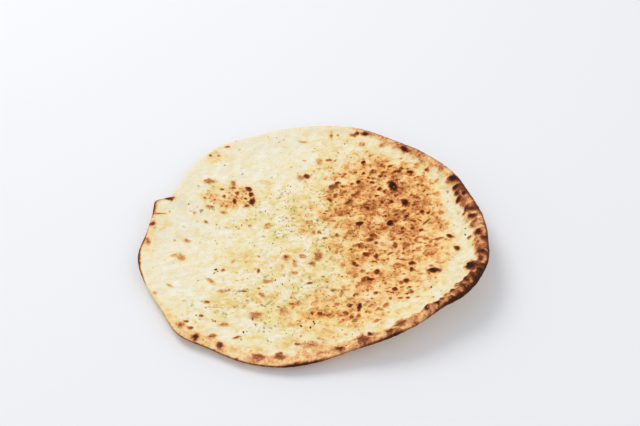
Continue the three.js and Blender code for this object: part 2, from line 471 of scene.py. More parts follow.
# The field that the herb flecks are scattered over, and the ranges of half length and shade.
FLECK_SEED = 111
FLECK_X = (-150, 140)
FLECK_Y = (-140, 135)
FLECK_HALF_LENGTHS = (0.55, 1.2)
FLECK_SHADES = (0.25, 1.0)
# The flecks that lie apart are darker: their shade is multiplied by this.
LONE_FLECK_SHADE = 0.2
# How far a fleck's middle stands out of the crust, and how deep its edge lies in it.
FLECK_RISE = 0.28
FLECK_EDGE_DEPTH = (0.02, 0.10)

# At most this much height counts in a place's distance from the edge.
LIP_CLIMB = 7
# How far in from the edge the roll's own colouring begins to fade, and where it is gone.
ROLL_FADE = (9, 17)
# How much flour clings to the top and to the underside, and how much less to the pale hollow.
TOP_FLOUR = 0.55
UNDER_FLOUR = 0.8
FLOUR_LOST_IN_HOLLOW = 0.4
# How thickly the smallest scorches lie: on pale dough, more for more toast, and underneath.
LEAST_SPECKLE = 0.10
SPECKLE_FOR_TOAST = 1.2
UNDER_SPECKLE = 0.35

# The two round islands of the bake map: the middle along both axes, and the radius.
TOP_ISLAND = (0.375, 0.365)
UNDER_ISLAND = (0.79, 0.2)

# ---------------------------------------------------------------------------------------------
# The plain studio, in metres. A light is its place, width, power and colour.

FLOOR_REACH = 6.0
FLOOR_DROP = 0.2 * MM
ROOM_COLOUR = (0.95, 0.97, 1.0, 1)
ROOM_STRENGTH = 0.66
KEY_LIGHT = ((-1.3, 1.45, 2.2), 1.6, 37, (1.0, 0.98, 0.95))
FILL_LIGHT = ((1.4, -1.4, 2.0), 2.4, 9, (0.96, 0.98, 1.0))
# A 50 mm lens, about 49 degrees above the table.
LENS = 50
SENSOR_WIDTH = 36
CAMERA_PLACE = (-0.0008, -0.5631, 0.6550)
CAMERA_AIM = (0.0076, 0.0345, 0)


# ---------------------------------------------------------------------------------------------
# Seeded noise on arrays of points. Features are about one cell wide and values run from -1 to 1.
# Each call gives the size of its cell and then its seed.

# Brings gradient noise up to the range from -1 to 1.
NOISE_GAIN = 1.5
# Each finer layer of noise is this strong for the one before it.
LAYER_FALL = 0.55


def hashed_angle(column, row, seed):
    """A repeatable random angle for each corner of a grid. Whole numbers may wrap round here."""
    mixed = column * 374761393 + row * 668265263 + seed * 974634777
    mixed = (mixed ^ (mixed >> 13)) * 1274126177
    mixed = mixed ^ (mixed >> 16)
    return (mixed & 0xFFFFFF) / 0x1000000 * math.tau


def noise(x, y, cell, seed, wrap=None):
    """Gradient noise. With wrap it repeats after that many cells of x."""
    u = np.asarray(x) / cell
    v = np.asarray(y) / cell
    column = np.floor(u).astype(np.int64)
    row = np.floor(v).astype(np.int64)
    fu = u - column
    fv = v - row

    def pull(step_u, step_v):
        cell_column = column + step_u
        if wrap:
            cell_column = cell_column % wrap
        angle = hashed_angle(cell_column, row + step_v, seed)
        return np.cos(angle) * (fu - step_u) + np.sin(angle) * (fv - step_v)

    ease_u = fu * fu * fu * (fu * (fu * 6 - 15) + 10)
    ease_v = fv * fv * fv * (fv * (fv * 6 - 15) + 10)
    low = pull(0, 0) * (1 - ease_u) + pull(1, 0) * ease_u
    high = pull(0, 1) * (1 - ease_u) + pull(1, 1) * ease_u
    return NOISE_GAIN * (low * (1 - ease_v) + high * ease_v)


def layered_noise(x, y, cell, seed, layers=3):
    """Noise with finer noise on it, each layer half as wide as the last."""
    total = 0
    strength = 1.0
    whole = 0
    for layer in range(layers):
        total = total + strength * noise(x, y, cell / 2**layer, seed + layer)
        whole += strength
        strength *= LAYER_FALL
    return total / whole


def smooth_step(low, high, value):
    """0 at low, 1 at high and smooth between them. With low above high it runs the other way."""
    share = np.clip((value - low) / (high - low), 0, 1)
    return share * share * (3 - 2 * share)


def turned(x, y, degrees):
    """The same place along and across a direction."""
    angle = math.radians(degrees)
    along = x * math.cos(angle) + y * math.sin(angle)
    across = y * math.cos(angle) - x * math.sin(angle)
    return along, across


def round_the_rim(angle, rows, column):
    """One column of a table by angle in degrees, read between its rows all the way round."""
    degrees = np.degrees(angle) % 360
    stations = np.array([row[0] for row in rows], float)
    values = np.array([row[column] for row in rows], float)
    return np.interp(degrees, stations, values, period=360)


# ---------------------------------------------------------------------------------------------
# The CAD solid, read as rings: radius and height for each ring and each direction.


def solid_tree(node):
    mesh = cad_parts[node].data
    corners = [v.co.copy() for v in mesh.vertices]
    faces = [tuple(p.vertices) for p in mesh.polygons]
    return BVHTree.FromPolygons(corners, faces)


def surface_height(tree, x, y, from_above):
    """Height where a vertical ray meets the solid, or None beside it."""
    start = Vector((x, y, 1 if from_above else -1))
    hit = tree.ray_cast(start, Vector((0, 0, -1 if from_above else 1)))[0]
    return None if hit is None else hit.z


def outline_radius(tree, cos, sin):
    """Distance from the middle to the edge in one direction."""
    inside = 0.0
    outside = OUTSIDE_RADIUS
    for _ in range(HALVINGS):
        middle = (inside + outside) / 2
        if surface_height(tree, cos * middle, sin * middle, True) is None:
            outside = middle
        else:
            inside = middle
    return inside


def blur_round(values, spread):
    """Blurs along the last axis, which runs all the way round."""
    count = values.shape[-1]
    frequency = np.fft.rfftfreq(count)
    gain = np.exp(-2 * (math.pi * spread * frequency) ** 2)
    return np.fft.irfft(np.fft.rfft(values, axis=-1) * gain, n=count, axis=-1)


def blur_along(values, spread):
    """Blurs along the first axis, which ends at both sides."""
    reach = int(math.ceil(spread * 3))
    steps = np.arange(-reach, reach + 1)
    weights = np.exp(-0.5 * (steps / spread) ** 2)
    weights /= weights.sum()
    padded = np.concatenate([values[reach:0:-1], values, values[-2 : -reach - 2 : -1]])
    count = len(values)
    return sum(w * padded[i : i + count] for i, w in enumerate(weights))


def ring_radii(outline, lip, share):
    """Radius in each direction, this share of the way over the surface from middle to edge."""
    flat = outline - lip
    path = share * (flat + lip * math.pi / 2)
    past = np.clip((path - flat) / lip, 0, math.pi / 2)
    return np.where(path < flat, path, flat + lip * np.sin(past))


def heights_round(tree, cos, sin, radii, from_above):
    """The surface's height in every direction, at each direction's own radius."""
    return [surface_height(tree, c * r, s * r, from_above) for c, s, r in zip(cos, sin, radii)]


def read_solid():
    """Radius and height of every ring in every direction: top from the middle out, then under."""
    tree = solid_tree(BREAD_NODE)
    cos = np.cos(DIRECTIONS * math.tau)
    sin = np.sin(DIRECTIONS * math.tau)
    outline = np.array([outline_radius(tree, c, s) for c, s in zip(cos, sin)]) - RAY_MARGIN
    probe = outline - LIP_PROBE
    top = np.array(heights_round(tree, cos, sin, probe, True))
    under = np.array(heights_round(tree, cos, sin, probe, False))
    lip = blur_round((top - under) / 2, HEIGHT_BLUR)

    top_shares = np.arange(TOP_RINGS + 1) / TOP_RINGS
    under_shares = np.arange(UNDER_RINGS - 1, -1, -1) / UNDER_RINGS
    radii = []
    heights = []
    for share, above in [(s, True) for s in top_shares] + [(s, False) for s in under_shares]:
        radii.append(ring_radii(outline, lip, share))
        heights.append(heights_round(tree, cos, sin, radii[-1], above))
    under_edge = heights_round(tree, cos, sin, radii[TOP_RINGS], False)
    heights = np.array(heights)
    heights[TOP_RINGS] = (heights[TOP_RINGS] + np.array(under_edge)) / 2
    return np.array(radii), heights


def soften_flats(radii, heights):
    """Takes out the CAD solid's flats and keeps its shape, its outline and its lip."""
    smooth_radii = blur_round(radii, OUTLINE_BLUR)
    heights = blur_round(heights, HEIGHT_BLUR)
    near_edge = blur_along(heights, LIP_BLUR_RINGS)
    on_sheet = blur_along(heights, SHEET_BLUR_RINGS)
    inset = radii[TOP_RINGS] - radii
    weight = smooth_step(LIP_ENDS, SHEET_BEGINS, inset)
    return smooth_radii, near_edge * (1 - weight) + on_sheet * weight


# ---------------------------------------------------------------------------------------------
# The fine mesh: every ring of the plan becomes a ring of corners, more of them further out.


def ring_starts(rings, gain):
    """Index of each ring's first corner in a disc: one corner, then gain, twice gain and so on."""
    return [0] + [1 + gain * k * (k - 1) // 2 for k in range(1, rings + 1)]


def disc_faces(rings, gain):
    """Triangles of a disc of rings, with each face wound anticlockwise."""
    starts = ring_starts(rings, gain)
    faces = []
    for k in range(1, rings + 1):
        outer_count = gain * k
        inner_count = max(1, gain * (k - 1))
        sector, step = np.divmod(np.arange(outer_count), k)
        outer = starts[k] + np.arange(outer_count)
        outer_next = starts[k] + (np.arange(outer_count) + 1) % outer_count
        inner = starts[k - 1] + (sector * (k - 1) + step) % inner_count
        faces.append(np.stack([outer, outer_next, inner], 1))
        if k > 1:
            kept = step < k - 1
            inner_next = starts[k - 1] + (sector * (k - 1) + step + 1) % inner_count
            faces.append(np.stack([inner, outer_next, inner_next], 1)[kept])
    return np.concatenate(faces)


def disc_corners(radii, heights, gain):
    """Corners of a disc from the radii and heights of its rings, listed from the middle out."""
    x = [0.0]
    y = [0.0]
    z = [float(heights[0].mean())]
    for k in range(1, len(radii)):
        count = gain * k
        turn = np.arange(count) / count
        angle = turn * math.tau
        radius = np.interp(turn, DIRECTIONS, radii[k], period=1)
        height = np.interp(turn, DIRECTIONS, heights[k], period=1)
        x.extend(radius * np.cos(angle))
        y.extend(radius * np.sin(angle))
        z.extend(height)
    return np.stack([x, y, z], 1)


def ring_numbers(rings, gain):
    """The ring that each corner of a disc lies on."""
    return np.concatenate([[0]] + [np.full(gain * k, k) for k in range(1, rings + 1)])


def joined_sides(top, under_disc):
    """Corners and faces of both sides, which share the corners of the outermost edge."""
    top_faces = disc_faces(TOP_RINGS, TOP_RING_GAIN)
    under_faces = disc_faces(UNDER_RINGS, UNDER_RING_GAIN)
    under_inner = len(under_disc) - EDGE_COUNT
    edge_start = len(top) - EDGE_COUNT
    to_joined = np.concatenate(
        [len(top) + np.arange(under_inner), edge_start + np.arange(EDGE_COUNT)]
    )
    corners = np.concatenate([top, under_disc[:under_inner]])
    faces = np.concatenate([top_faces, to_joined[under_faces][:, ::-1]])
    return corners, faces, len(top_faces)


def corner_normals(corners, faces):
    """The way out of the dough at every corner, from the faces round it by their areas."""
    a, b, c = (corners[faces[:, i]] for i in range(3))
    across = np.cross(b - a, c - a)
    total = np.zeros_like(corners)
    for i in range(3):
        for axis in range(3):
            total[:, axis] += np.bincount(
                faces[:, i], weights=across[:, axis], minlength=len(corners)
            )
    return total / np.linalg.norm(total, axis=1, keepdims=True)


# ---------------------------------------------------------------------------------------------
# Where things are on the bread. Everything here is in millimetres.


class Places:
    """Every corner's place: in plan, round the rim, and over the surface from the edge."""

    def __init__(self, corners, top_count):
        self.x = corners[:, 0] / MM
        self.y = corners[:, 1] / MM
        self.z = corners[:, 2] / MM
        self.angle = np.arctan2(self.y, self.x)
        self.radius = np.hypot(self.x, self.y)
        self.is_top = np.arange(len(corners)) < top_count
        edge = corners[top_count - EDGE_COUNT : top_count] / MM
        turn = self.angle / math.tau % 1
        edge_radius = np.interp(turn, DIRECTIONS, np.hypot(edge[:, 0], edge[:, 1]), period=1)
        edge_height = np.interp(turn, DIRECTIONS, edge[:, 2], period=1)
        self.inset = np.maximum(edge_radius - self.radius, 0)
        # Over the lip, the way round is longer than the distance in from the edge.
        climb = np.abs(self.z - edge_height)
        self.from_edge = np.hypot(self.inset, np.minimum(climb, LIP_CLIMB))


def area_strength(x, y, areas):
    """How strongly a place is covered by areas that fade towards their edges."""
    total = 0
    for centre_x, centre_y, half_width, half_depth, turn, strength in areas:
        along, across = turned(x - centre_x, y - centre_y, turn)
        apart = np.hypot(along / half_width, across / half_depth)
        total = total + strength * (1 - smooth_step(*AREA_FADE, apart))
    return total


def spot_apart(x, y, spot):
    """How far points are from a spot's middle, as a share of its ragged half width."""
    along, across = turned(x - spot[0], y - spot[1], spot[4])
    apart = np.hypot(along / spot[2], across / spot[3])
    ragged = 1 + 0.30 * noise(x, y, 2.8, 11) + 0.20 * noise(x, y, 5.5, 12)
    return apart * ragged


def near_spot(place, spot):
    """The corners of the top that a blister can reach."""
    reach = BLISTER_REACH * max(spot[2], spot[3])
    near = (np.abs(place.x - spot[0]) < reach) & (np.abs(place.y - spot[1]) < reach)
    return np.flatnonzero(near & place.is_top)


def screened(first, second):
    """Two strengths from 0 to 1 that add up without passing 1."""
    return 1 - (1 - np.clip(first, 0, 1)) * (1 - np.clip(second, 0, 1))


def add_spots(place, spots, height, toast):
    """Raises a low dome for each blister and toasts it, with a paler halo round it."""
    for spot in spots:
        kept = near_spot(place, spot)
        if not len(kept):
            continue
        apart = spot_apart(place.x[kept], place.y[kept], spot)
        rise, browning = spot[5], spot[6]
        height[kept] += rise * np.sqrt(np.clip(1 - apart**2 / DOME_SPREAD, 0, 1))
        core = browning * (1 - smooth_step(*CORE_FADE, apart))
        halo = HALO_TOAST * browning * (1 - smooth_step(*HALO_FADE, apart))
        toast[kept] = np.maximum(toast[kept], screened(core, halo))


def small_blister_density(x, y):
    """Dense where the bread is toasted, and calmer towards the thick side and the front."""
    heat = area_strength(x, y, HEAT)
    calmer = 1 - 0.65 * smooth_step(92, 118, x) - 0.5 * smooth_step(-92, -116, y)
    return min(1.0, 0.012 + 5 * heat * heat) * max(0.2, calmer)


def small_blisters():
    """Small blisters, more and darker where their density is higher."""
    rng = np.random.default_rng(SMALL_BLISTER_SEED)
    smallest, largest = SMALL_BLISTER_SIZES
    half_width, half_depth = SCATTER_FIELD
    spots = []
    while len(spots) < SMALL_BLISTER_COUNT:
        x = rng.uniform(-half_width, half_width)
        y = rng.uniform(-half_depth, half_depth)
        density = small_blister_density(x, y)
        if rng.random() > density:
            continue
        size = smallest + (largest - smallest) * rng.random() ** SMALL_BLISTER_POWER
        long = size * rng.uniform(*SMALL_BLISTER_STRETCH)
        turn = rng.normal(*SMALL_BLISTER_TURN)
        rise = rng.uniform(*SMALL_BLISTER_RISES) * size / largest
        toast = rng.uniform(*SMALL_BLISTER_TOASTS) * (0.6 + 0.4 * density)
        spots.append((x, y, long, size, turn, rise, toast))
    return spots


# ---------------------------------------------------------------------------------------------
# Relief and browning of the top.


def puff_domes(place):
    """Rounded puffs of uneven size along the roll: 0 in the creases, about 1 on their domes."""
    round_length = 2 * math.pi * RIM_RADIUS
    along = place.angle / math.tau % 1 * round_length
    bend = 3.0 * noise(place.x, place.y, 16, 42)
    inward = place.from_edge * 0.55
    total = 0
    for share, seed, strength in ((1, 43, 1.0), (2, 44, 0.5)):
        count = round(round_length / PUFF_WIDTH) * share
        width = round_length / count
        total = total + strength * np.abs(noise(along + bend, inward, width, seed, count))
    return np.clip(total * 1.5, 0, 1.3)


def puff_relief(place, domes):
    """How far the puffs stand out, in millimetres. The outermost edge itself stays quiet."""
    rise = round_the_rim(place.angle, PUFF_RISE, 1)
    reach = PUFF_REACH * (0.5 + 0.5 * smooth_step(0.3, 1.2, rise))
    on_top = 1 - smooth_step(0.6 * reach, reach, place.from_edge)
    under = 1 - smooth_step(2, 8, place.from_edge)
    window = np.where(place.is_top, on_top, under)
    quiet_edge = 0.2 + 0.8 * smooth_step(2, 7, place.from_edge)
    return 1.5 * rise * window * quiet_edge * (domes - PUFF_MIDDLE)


def hollow_window(place):
    """The pale hollow just inside the thick side of the rim."""
    middle = round_the_rim(place.angle, HOLLOW, 1)
    strength = round_the_rim(place.angle, HOLLOW, 2)
    wander = 3 * noise(place.x, place.y, 9, 45) + 3 * noise(place.x, place.y, 4, 46)
    apart = np.abs(place.inset + wander - middle) / HOLLOW_HALF_WIDTH
    return strength * (1 - smooth_step(0.6, 1.6, apart))


def sheet_relief(place):
    """The dough itself: broad waves, low bubbles, stretch wrinkles and a fine grain."""
    x, y = place.x, place.y
    waves = layered_noise(x, y, 40, 51, 2)
    bubbles = 1.5 * np.maximum(0, layered_noise(x, y, 14, 52, 2))
    along, across = turned(x, y, 6)
    bend = 3.0 * noise(x, y, 30, 53)
    wrinkles = noise(along / 3.0, across + bend, 3.6, 54)
    stretched = smooth_step(-5, -60, y) * smooth_step(150, 90, np.abs(x))
    wrinkles = wrinkles * (0.12 + 0.48 * stretched)
    heat = np.clip(1.6 * area_strength(x, y, HEAT), 0, 1)
    grain = (0.14 + 0.30 * heat) * layered_noise(x, y, 3.6, 55, 2)
    return waves + bubbles + wrinkles + grain


def edge_browning(place, domes):
    """Char on the lip and the browned band behind it, both broken up by the puffs."""
    char = round_the_rim(place.angle, EDGE_TOAST, 1)
    char_reach = round_the_rim(place.angle, EDGE_TOAST, 2)
    band = round_the_rim(place.angle, EDGE_TOAST, 3)
    band_reach = round_the_rim(place.angle, EDGE_TOAST, 4)
    patches = noise(place.x, place.y, 7, 61)
    mottle = noise(place.x, place.y, 3, 62)
    puffed = round_the_rim(place.angle, PUFF_RISE, 1) / MOST_PUFF
    finger = 1 + 0.5 * puffed * (domes - PUFF_MIDDLE)
    apart = place.from_edge * (1 + 0.25 * patches + 0.15 * mottle) / finger
    black = char * (1 - smooth_step(0.6 * char_reach, 1.5 * char_reach, apart))
    fade = 1 - smooth_step(0.75 * band_reach, 1.15 * band_reach, apart)
    varied = 1 + 0.40 * patches + 0.40 * mottle + 0.30 * puffed * (domes - 0.4)
    return screened(0.9 * black, band * varied * fade)


def base_browning(place):
    """The general toast of the top before its blisters."""
    x, y = place.x, place.y
    heat = area_strength(x, y, HEAT)
    patches = layered_noise(x, y, 16, 71, 2)
    mottle = layered_noise(x, y, 7, 72, 2)
    varied = 0.92 + 0.85 * patches + 0.60 * mottle
    toast = 0.06 + 0.04 * layered_noise(x, y, 24, 74) + heat * np.clip(varied, 0, 2)
    return toast * (1 - 0.75 * hollow_window(place))


def top_surface(place):
    """Relief in millimetres, general browning and toasted spots of the top."""
    domes = puff_domes(place)
    height = sheet_relief(place) * smooth_step(0, 6, place.from_edge)
    toast = np.zeros_like(place.x)
    for spots in (small_blisters(), BROWNED_BLISTERS, SCORCHED_BLISTERS, ROLL_BLISTERS):
        add_spots(place, spots, height, toast)
    toast = screened(toast, edge_browning(place, domes))
    return height + puff_relief(place, domes), base_browning(place), toast


def under_surface(place):
    """The same three for the underside, which baked against a hot floured wall."""
    x, y = place.x, place.y
    domes = puff_domes(place)
    away = smooth_step(0, 7, place.from_edge)
    pits = -0.35 * smooth_step(0.35, 0.8, noise(x, y, 5.5, 91))
    pads = 0.30 * layered_noise(x, y, 17, 92, 2)
    height = (pits - np.maximum(0, pads)) * away
    leopard = smooth_step(0.12, 0.5, layered_noise(x, y, 15, 93))
    fine = smooth_step(0.25, 0.7, layered_noise(x, y, 6, 94, 2))
    ring = smooth_step(60, 140, place.radius)
    heat = 0.16 + 0.06 * noise(x, y, 30, 95) + leopard * (0.24 + 0.20 * ring)
    toast = screened(leopard * (0.10 + 0.30 * ring) + 0.20 * fine, edge_browning(place, domes))
    return height + puff_relief(place, domes), heat, toast


def oiled(place):
    """Where oil and herbs tint the top yellow-green."""
    patchy = 0.5 + 0.9 * layered_noise(place.x, place.y, 16, 101)
    soaked = area_strength(place.x, place.y, OILED_AREAS) * patchy
    return np.clip(soaked + 0.6 * hollow_window(place), 0, 1) * place.is_top


def herb_density(x, y):
    """How thickly the herbs fell at a place."""
    return area_strength(x, y, HERB_AREAS) + STRAY_HERBS


# ---------------------------------------------------------------------------------------------
# Mesh objects.


def set_attribute(mesh, name, values):
    """Stores a value for every corner, for the material to read."""
    layer = mesh.attributes.new(name, "FLOAT", "POINT")
    layer.data.foreach_set("value", values.astype(np.float32))


def bake_shares(top_count, under_inner):
    """How far out each corner lies on the top's island, and on the underside's, from 0 to 1."""
    top_rings = ring_numbers(TOP_RINGS, TOP_RING_GAIN)
    under_rings = ring_numbers(UNDER_RINGS, UNDER_RING_GAIN)[:under_inner]
    on_top = np.concatenate([top_rings / TOP_RINGS, np.zeros(under_inner)])
    on_under = np.concatenate([np.ones(top_count), under_rings / UNDER_RINGS])
    return on_top, on_under


def add_bake_map(mesh, faces, top_faces, shares, angle):
    """Two round islands, top and underside, spread evenly over the surface."""
    direction = np.stack([np.cos(angle), np.sin(angle)], 1)
    on_top, on_under = (
        middle + radius * share[:, None] * direction
        for (middle, radius), share in zip((TOP_ISLAND, UNDER_ISLAND), shares)
    )
    coordinates = np.concatenate(
        [on_top[faces[:top_faces].ravel()], on_under[faces[top_faces:].ravel()]]
    )
    layer = mesh.uv_layers.new(name="OFBake")
    layer.data.foreach_set("uv", coordinates.astype(np.float32).ravel())


def new_object(name, corners, faces, material):
    mesh = bpy.data.meshes.new(name)
    mesh.from_pydata(corners.tolist(), [], faces.tolist())
    mesh.polygons.foreach_set("use_smooth", [True] * len(mesh.polygons))
    mesh.materials.append(material)
    piece = bpy.data.objects.new(name, mesh)
    bpy.context.scene.collection.objects.link(piece)
    return piece


def settle(corners):
    """Keeps every corner on or above the surface that the bread lies on."""
    corners[:, 2] = np.maximum(corners[:, 2], 0)


def fine_mesh():
    """Corners and faces read from the CAD solid, and how many of each belong to the top."""
    radii, heights = soften_flats(*read_solid())
    top = disc_corners(radii[: TOP_RINGS + 1], heights[: TOP_RINGS + 1], TOP_RING_GAIN)
    under_order = slice(None, TOP_RINGS - 1, -1)
    under_disc = disc_corners(radii[under_order], heights[under_order], UNDER_RING_GAIN)
    corners, faces, top_faces = joined_sides(top, under_disc)
    return corners, faces, len(top), top_faces


def store_finish(mesh, place, browning, toast):
    """Stores what the crust material reads at every corner."""
    herbs = herb_density(place.x, place.y) * place.is_top
    speckle = LEAST_SPECKLE + SPECKLE_FOR_TOAST * area_strength(place.x, place.y, HEAT)
    flour = TOP_FLOUR - FLOUR_LOST_IN_HOLLOW * hollow_window(place)
    set_attribute(mesh, "browning", np.clip(browning, 0, 1))
    set_attribute(mesh, "toast", np.clip(toast, 0, 1))
    set_attribute(mesh, "roll", 1 - smooth_step(*ROLL_FADE, place.from_edge))
    set_attribute(mesh, "oil", oiled(place))
    set_attribute(mesh, "herbs", np.clip(herbs, 0, 1))
    set_attribute(mesh, "speckle", np.where(place.is_top, np.clip(speckle, 0, 1), UNDER_SPECKLE))
    set_attribute(mesh, "flour", np.where(place.is_top, flour, UNDER_FLOUR))


def make_bread(material):
    """The naan: crumb, crust, rim, blisters and flap in one piece."""
    corners, faces, top_count, top_faces = fine_mesh()
    place = Places(corners, top_count)
    both_sides = zip(top_surface(place), under_surface(place))
    height, browning, toast = (np.where(place.is_top, top, under) for top, under in both_sides)
    normals = corner_normals(corners, faces)
    corners = corners + normals * (height * MM)[:, None]
    settle(corners)

    piece = new_object("naan", corners, faces, material)
    store_finish(piece.data, place, browning, toast)
    shares = bake_shares(top_count, len(corners) - top_count)
    add_bake_map(piece.data, faces, top_faces, shares, place.angle)
    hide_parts(BREAD_NODE)
    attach(piece, "root")
    return piece


def loose_fleck(middle, across, up, half_long, rng):
    """Corners of one thin, slightly domed fleck: its raised middle, then its ragged outline."""
    half_wide = half_long * rng.uniform(0.45, 0.85)
    side = up.cross(across).normalized()
    corners = [middle + up * FLECK_RISE * MM]
    for step in range(FLECK_SIDES):
        angle = (step + rng.uniform(-0.3, 0.3)) / FLECK_SIDES * math.tau
        reach = rng.uniform(0.75, 1.15)
        out = across * math.cos(angle) * half_long + side * math.sin(angle) * half_wide
        corners.append(middle + out * reach - up * rng.uniform(*FLECK_EDGE_DEPTH) * MM)
    return corners


def fleck_places(rng):
    """Where the dried herbs lie and how long half of each is, in millimetres."""
    places = list(LONE_FLECKS)
    while len(places) < FLECK_COUNT:
        x = rng.uniform(*FLECK_X)
        y = rng.uniform(*FLECK_Y)
        clump = max(0.0, 0.25 + 1.9 * layered_noise([x], [y], 20, 112, 2)[0])
        if rng.random() < herb_density(x, y) * clump:
            places.append((x, y, rng.uniform(*FLECK_HALF_LENGTHS)))
    return places


def make_herb_flecks(bread, material):
    """Flecks of dried herbs that baked into the top."""
    rng = np.random.default_rng(FLECK_SEED)
    tree = BVHTree.FromObject(bread, bpy.context.evaluated_depsgraph_get())
    corners = []
    faces = []
    shades = []
    lone_corners = len(LONE_FLECKS) * (FLECK_SIDES + 1)
    for x, y, half_long in fleck_places(rng):
        spot, up = tree.ray_cast(Vector((x * MM, y * MM, 1)), Vector((0, 0, -1)))[:2]
        if spot is None:
            continue
        turn = rng.uniform(0, math.pi)
        across = Vector((math.cos(turn), math.sin(turn), 0))
        across = (across - up * across.dot(up)).normalized()
        first = len(corners)
        corners.extend(loose_fleck(spot, across, up, half_long * MM, rng))
        for step in range(FLECK_SIDES):
            faces.append((first, first + 1 + step, first + 1 + (step + 1) % FLECK_SIDES))
        shade = rng.uniform(*FLECK_SHADES)
        if len(shades) < lone_corners:
            shade *= LONE_FLECK_SHADE
        shades.extend([shade] * (FLECK_SIDES + 1))
    piece = new_object("herb_flecks", np.array(corners), np.array(faces), material)
    set_attribute(piece.data, "shade", np.array(shades))
    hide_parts(BREAD_NODE)
    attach(piece, "root")


# ---------------------------------------------------------------------------------------------
# Shader maths: a wire is one output socket, and sums and products of wires add Math nodes.


def linear(red, green, blue):
    """An sRGB colour from 0 to 255 as the linear colour that shaders take."""

    def one(value):
        value /= 255
        return value / 12.92 if value <= 0.04045 else ((value + 0.055) / 1.055) ** 2.4

    return (one(red), one(green), one(blue), 1)


class Wire:
    """One output socket of a material's nodes."""

    def __init__(self, shader, socket):
        self.shader = shader
        self.socket = socket

    def maths(self, operation, *others, clamp=False):
        inputs = {i: value for i, value in enumerate([self, *others])}
        settings = {"operation": operation, "use_clamp": clamp}
        return self.shader.add("ShaderNodeMath", settings, inputs)

    def __add__(self, other):
        return self.maths("ADD", other)

    __radd__ = __add__

    def __mul__(self, other):
        return self.maths("MULTIPLY", other)

    __rmul__ = __mul__

    def __sub__(self, other):
        return self.maths("SUBTRACT", other)

    def __rsub__(self, other):
        return self.maths("MULTIPLY_ADD", -1.0, other)

    def __lt__(self, other):
        return self.maths("LESS_THAN", other)

    def most(self, other):
        return self.maths("MAXIMUM", other)

    def clamped(self):
        return self.maths("ADD", 0.0, clamp=True)

    def between(self, low, high):
        """0 below low, 1 above high and smooth between them."""
        settings = {"interpolation_type": "SMOOTHSTEP"}
        inputs = {"Value": self, "From Min": low, "From Max": high}
        return self.shader.add("ShaderNodeMapRange", settings, inputs)


class Shader:
    """A material's node tree, with one way to add a node."""

    def __init__(self, name):
        self.material = bpy.data.materials.new(name)
        self.material.use_nodes = True
        self.tree = self.material.node_tree
        self.surface = self.tree.nodes["Principled BSDF"]

    def connect(self, socket, value):
        if isinstance(value, Wire):
            self.tree.links.new(value.socket, socket)
        else:
            socket.default_value = value

    def add(self, kind, settings=None, inputs=None, output=0):
        """Adds a node: its settings first, then the values or wires of its sockets."""
        node = self.tree.nodes.new(kind)
        for name, value in (settings or {}).items():
            if name == "stops":
                self.set_stops(node.color_ramp, value)
            else:
                setattr(node, name, value)
        for name, value in (inputs or {}).items():
            self.connect(node.inputs[name], value)
        return Wire(self, node.outputs[output])

    @staticmethod
    def set_stops(ramp, stops):
        while len(ramp.elements) < len(stops):
            ramp.elements.new(0.5)
        for element, (position, colour) in zip(ramp.elements, stops):
            element.position = position
            element.color = colour

    def attribute(self, name):
        return self.add("ShaderNodeAttribute", {"attribute_name": name}, output="Fac")

    def millimetres(self):
        """The place on the object, in millimetres."""
        place = self.add("ShaderNodeTexCoord", output="Object")
        settings = {"operation": "SCALE"}
        return self.add("ShaderNodeVectorMath", settings, {0: place, "Scale": 1 / MM})

    def scaled(self, place, factors):
        settings = {"operation": "MULTIPLY"}
        return self.add("ShaderNodeVectorMath", settings, {0: place, 1: factors})

    def warped(self, place, size, reach):
        """The same place, pushed about by up to half of reach."""
        push = self.grain(place, size, 1, "Color")
        settings = {"operation": "MULTIPLY_ADD"}
        return self.add(
            "ShaderNodeVectorMath", settings, {0: push, 1: (reach,) * 3, 2: place}
        )

    def grain(self, place, size, detail=2, output=0):
        """Noise from 0 to 1 with features of about this size."""
        inputs = {"Vector": place, "Scale": 1 / size, "Detail": detail, "Roughness": 0.55}
        return self.add("ShaderNodeTexNoise", None, inputs, output)

    def cells(self, place, size, output):
        """Cells of this size: the distance from each one's middle, or its random colour."""
        inputs = {"Vector": place, "Scale": 1 / size}
        return self.add("ShaderNodeTexVoronoi", None, inputs, output)

    def tint(self, factor, first, second):
        """The first colour where factor is 0, the second where it is 1."""
        settings = {"data_type": "RGBA", "clamp_factor": True}
        return self.add("ShaderNodeMix", settings, {0: factor, 6: first, 7: second}, 2)

    def channel(self, colour, name):
        return self.add("ShaderNodeSeparateColor", None, {0: colour}, name)

    def bump(self, height, distance, strength):
        inputs = {"Height": height, "Distance": distance, "Strength": strength}
        return self.add("ShaderNodeBump", None, inputs)

    def finish(self, **sockets):
        for name, value in sockets.items():
            self.connect(self.surface.inputs[name.replace("_", " ")], value)
        return self.material


# Dough from raw-looking cream to charcoal.
CRUST_COLOURS = [
    (0.00, linear(242, 235, 212)),
    (0.11, linear(243, 230, 190)),
    (0.22, linear(247, 218, 156)),
    (0.34, linear(246, 198, 126)),
    (0.45, linear(234, 168, 98)),
    (0.56, linear(206, 130, 70)),
    (0.66, linear(170, 92, 42)),
    (0.76, linear(132, 62, 24)),
    (0.88, linear(86, 38, 12)),
    (1.00, linear(42, 24, 12)),
]
OILED_DOUGH = linear(224, 206, 112)
HERB_STAIN = linear(156, 140, 58)
FLOUR = linear(248, 243, 230)


def sparse_spots(shader, place, size, chance, smallest, largest):
    """Soft round spots in a share of the cells: (strength, a random number for each spot)."""
    random = shader.cells(place, size, "Color")
    apart = shader.cells(place, size, "Distance")
    first = shader.channel(random, "Red")
    second = shader.channel(random, "Green")
    third = shader.channel(random, "Blue")
    radius = second * (largest - smallest) + smallest
    inside = (radius - apart).between(-0.12, 0.10)
    return inside * (first < chance), third


